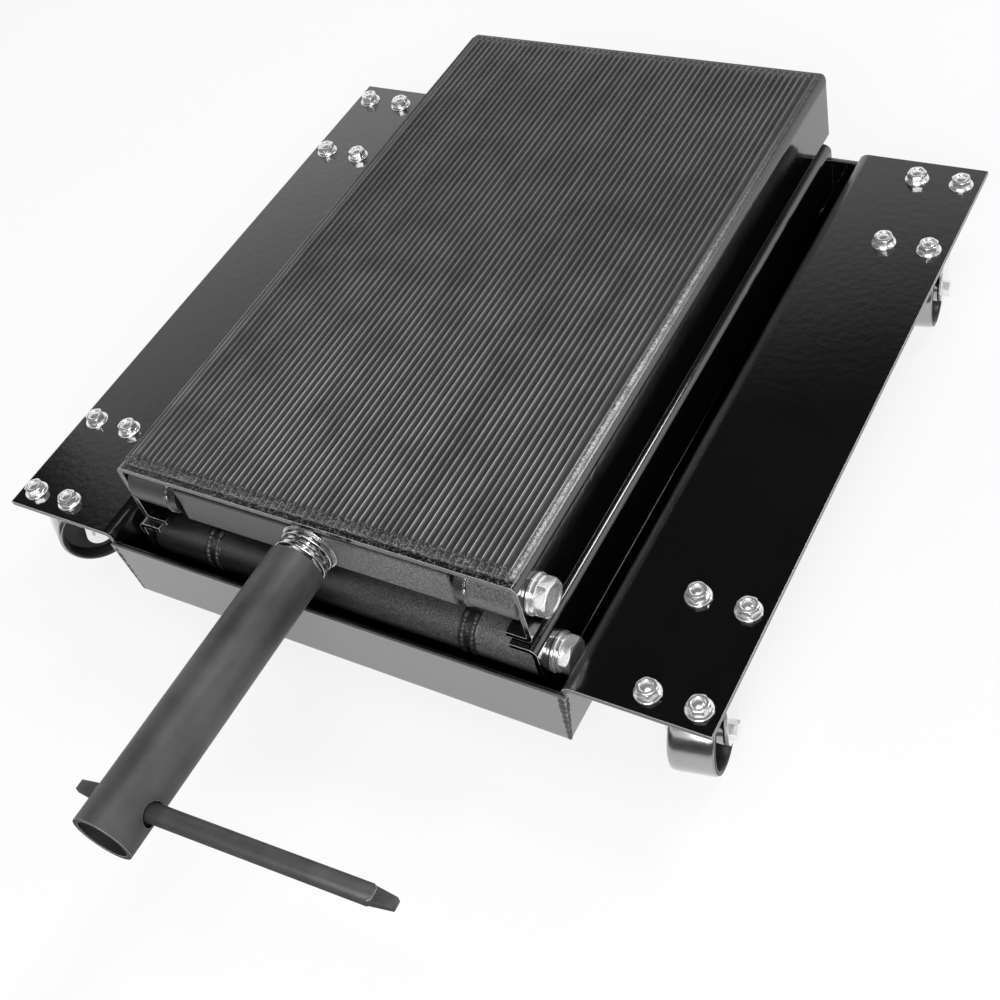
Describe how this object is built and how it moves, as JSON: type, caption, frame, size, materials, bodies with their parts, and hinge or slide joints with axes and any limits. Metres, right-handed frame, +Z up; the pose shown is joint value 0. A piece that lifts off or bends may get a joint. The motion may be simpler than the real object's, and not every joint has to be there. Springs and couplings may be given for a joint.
{
  "type": "motorcycle jack",
  "caption": "Scissor lift for a motorcycle's frame: a wheeled dolly carries crossed arms that a lead screw and a wrench with a sliding bar raise under a level ribbed platform.",
  "frame": {"origin": "on the floor, midway along the whole jack; the middle plane of the platform and of the screw is X = 0", "axes": "X across the platform, Y from the wrench's end at the front to the back, Z up from the floor"},
  "size_m": [0.4528, 0.583, 0.121],
  "materials": {
    "black_powder_coat": "semi-gloss black powder coat with a fine orange peel",
    "satin_black": "satin black paint over rolled steel",
    "rib_rubber": "dull black ribbed rubber",
    "zinc": "bright zinc plate",
    "polished_steel": "ground and polished steel",
    "oxide_steel": "dark oxide on drawn steel",
    "wheel_black": "moulded black plastic"
  },
  "bodies": {
    "dolly": {"dolly_pan": "black_powder_coat", "base_channel": "black_powder_coat", "base_spacers": "zinc", "base_bolts": "zinc", "base_nuts": "zinc", "caster_bolts": "zinc", "caster_nuts": "zinc", "caster_kingpins": "zinc", "caster_plate_front_left": "zinc", "caster_plate_front_right": "zinc", "caster_plate_back_left": "zinc", "caster_plate_back_right": "zinc", "lower_pivot_shaft": "zinc", "lower_pivot_bolts": "zinc", "lower_pivot_washers": "zinc", "lower_lock_washers": "zinc"},
    "inner_arms": {"inner_arm_left": "satin_black", "inner_arm_right": "satin_black", "lower_cross_tube": "satin_black", "centre_bolts": "zinc", "centre_washers": "zinc", "centre_nuts": "zinc"},
    "outer_arms": {"outer_arm_left": "satin_black", "outer_arm_right": "satin_black", "upper_pivot_tubes": "satin_black", "track_axle": "zinc", "lower_roller_clips": "polished_steel"},
    "deck": {"platform": "black_powder_coat", "platform_mat": "rib_rubber", "screw_beam": "satin_black", "upper_pivot_bolts": "zinc", "upper_pivot_washers": "zinc", "upper_lock_washers": "zinc", "bearing_race_rear": "polished_steel", "thrust_washers": "polished_steel"},
    "nut_carriage": {"screw_nut": "satin_black", "upper_roller_clips": "polished_steel"},
    "screw": {"lead_screw": "polished_steel", "bearing_race_front": "polished_steel", "screw_stop": "zinc"},
    "cage": {"bearing_cage": "polished_steel"},
    "wrench": {"wrench_tube": "oxide_steel", "wrench_socket": "oxide_steel"},
    "bar": {"tommy_bar": "oxide_steel"},
    "roller_upper_left": {"upper_roller_left": "zinc"},
    "roller_upper_right": {"upper_roller_right": "zinc"},
    "roller_lower_left": {"lower_roller_left": "zinc"},
    "roller_lower_right": {"lower_roller_right": "zinc"},
    "fork_front_left": {"caster_fork_front_left": "zinc", "caster_axle_front_left": "zinc"},
    "wheel_front_left": {"caster_wheel_front_left": "wheel_black"},
    "fork_front_right": {"caster_fork_front_right": "zinc", "caster_axle_front_right": "zinc"},
    "wheel_front_right": {"caster_wheel_front_right": "wheel_black"},
    "fork_back_left": {"caster_fork_back_left": "zinc", "caster_axle_back_left": "zinc"},
    "wheel_back_left": {"caster_wheel_back_left": "wheel_black"},
    "fork_back_right": {"caster_fork_back_right": "zinc", "caster_axle_back_right": "zinc"},
    "wheel_back_right": {"caster_wheel_back_right": "wheel_black"}
  },
  "joints": [
    {"name": "lift", "type": "hinge", "parent": "dolly", "child": "inner_arms", "pos_m": [0, -0.102, 0.053], "axis": [1, 0, 0], "range_deg": [0, 50.05]},
    {"name": "cross_fold", "type": "hinge", "parent": "inner_arms", "child": "outer_arms", "pos_m": [0, 0.06637, 0.0765], "axis": [1, 0, 0], "range_deg": [-100.1, 0]},
    {"name": "deck_level", "type": "hinge", "parent": "outer_arms", "child": "deck", "pos_m": [0, -0.102, 0.1], "axis": [1, 0, 0], "range_deg": [0, 50.05]},
    {"name": "nut_level", "type": "hinge", "parent": "inner_arms", "child": "nut_carriage", "pos_m": [0, 0.23474, 0.1], "axis": [1, 0, 0], "range_deg": [-50.05, 0]},
    {"name": "screw_turn", "type": "hinge", "parent": "deck", "child": "screw", "pos_m": [0, -0.1252, 0.1], "axis": [0, 1, 0], "continuous": true},
    {"name": "cage_turn", "type": "hinge", "parent": "deck", "child": "cage", "pos_m": [0, -0.1207, 0.1], "axis": [0, 1, 0], "continuous": true},
    {"name": "wrench_pull", "type": "slide", "parent": "screw", "child": "wrench", "axis": [0, -1, 0], "range_m": [0, 0.021]},
    {"name": "bar_slide", "type": "slide", "parent": "wrench", "child": "bar", "axis": [0.9988, 0.0489, 0], "range_m": [-0.116, 0]},
    {"name": "upper_roll_left", "type": "hinge", "parent": "nut_carriage", "child": "roller_upper_left", "pos_m": [-0.1045, 0.23474, 0.1], "axis": [1, 0, 0], "continuous": true},
    {"name": "upper_roll_right", "type": "hinge", "parent": "nut_carriage", "child": "roller_upper_right", "pos_m": [0.1045, 0.23474, 0.1], "axis": [1, 0, 0], "continuous": true},
    {"name": "lower_roll_left", "type": "hinge", "parent": "outer_arms", "child": "roller_lower_left", "pos_m": [-0.1045, 0.23474, 0.053], "axis": [1, 0, 0], "continuous": true},
    {"name": "lower_roll_right", "type": "hinge", "parent": "outer_arms", "child": "roller_lower_right", "pos_m": [0.1045, 0.23474, 0.053], "axis": [1, 0, 0], "continuous": true},
    {"name": "swivel_front_left", "type": "hinge", "parent": "dolly", "child": "fork_front_left", "pos_m": [-0.1993, -0.0869, 0.056], "axis": [0, 0, 1], "continuous": true},
    {"name": "roll_front_left", "type": "hinge", "parent": "fork_front_left", "child": "wheel_front_left", "pos_m": [-0.20692, -0.09864, 0.024], "axis": [0.8387, -0.5446, 0], "continuous": true},
    {"name": "swivel_front_right", "type": "hinge", "parent": "dolly", "child": "fork_front_right", "pos_m": [0.1993, -0.0869, 0.056], "axis": [0, 0, 1], "continuous": true},
    {"name": "roll_front_right", "type": "hinge", "parent": "fork_front_right", "child": "wheel_front_right", "pos_m": [0.20185, -0.10067, 0.024], "axis": [0.9833, 0.1822, 0], "continuous": true},
    {"name": "swivel_back_left", "type": "hinge", "parent": "dolly", "child": "fork_back_left", "pos_m": [-0.1993, 0.2395, 0.056], "axis": [0, 0, 1], "continuous": true},
    {"name": "roll_back_left", "type": "hinge", "parent": "fork_back_left", "child": "wheel_back_left", "pos_m": [-0.19361, 0.22671, 0.024], "axis": [0.9135, 0.4067, 0], "continuous": true},
    {"name": "swivel_back_right", "type": "hinge", "parent": "dolly", "child": "fork_back_right", "pos_m": [0.1993, 0.2395, 0.056], "axis": [0, 0, 1], "continuous": true},
    {"name": "roll_back_right", "type": "hinge", "parent": "fork_back_right", "child": "wheel_back_right", "pos_m": [0.20125, 0.22564, 0.024], "axis": [0.9903, 0.1392, 0], "continuous": true}
  ],
  "couplings": [
    {"joint": "cross_fold", "follows": "lift", "ratio": -2},
    {"joint": "deck_level", "follows": "lift", "ratio": 1},
    {"joint": "nut_level", "follows": "lift", "ratio": -1},
    {"joint": "cage_turn", "follows": "screw_turn", "ratio": 0.5}
  ]
}
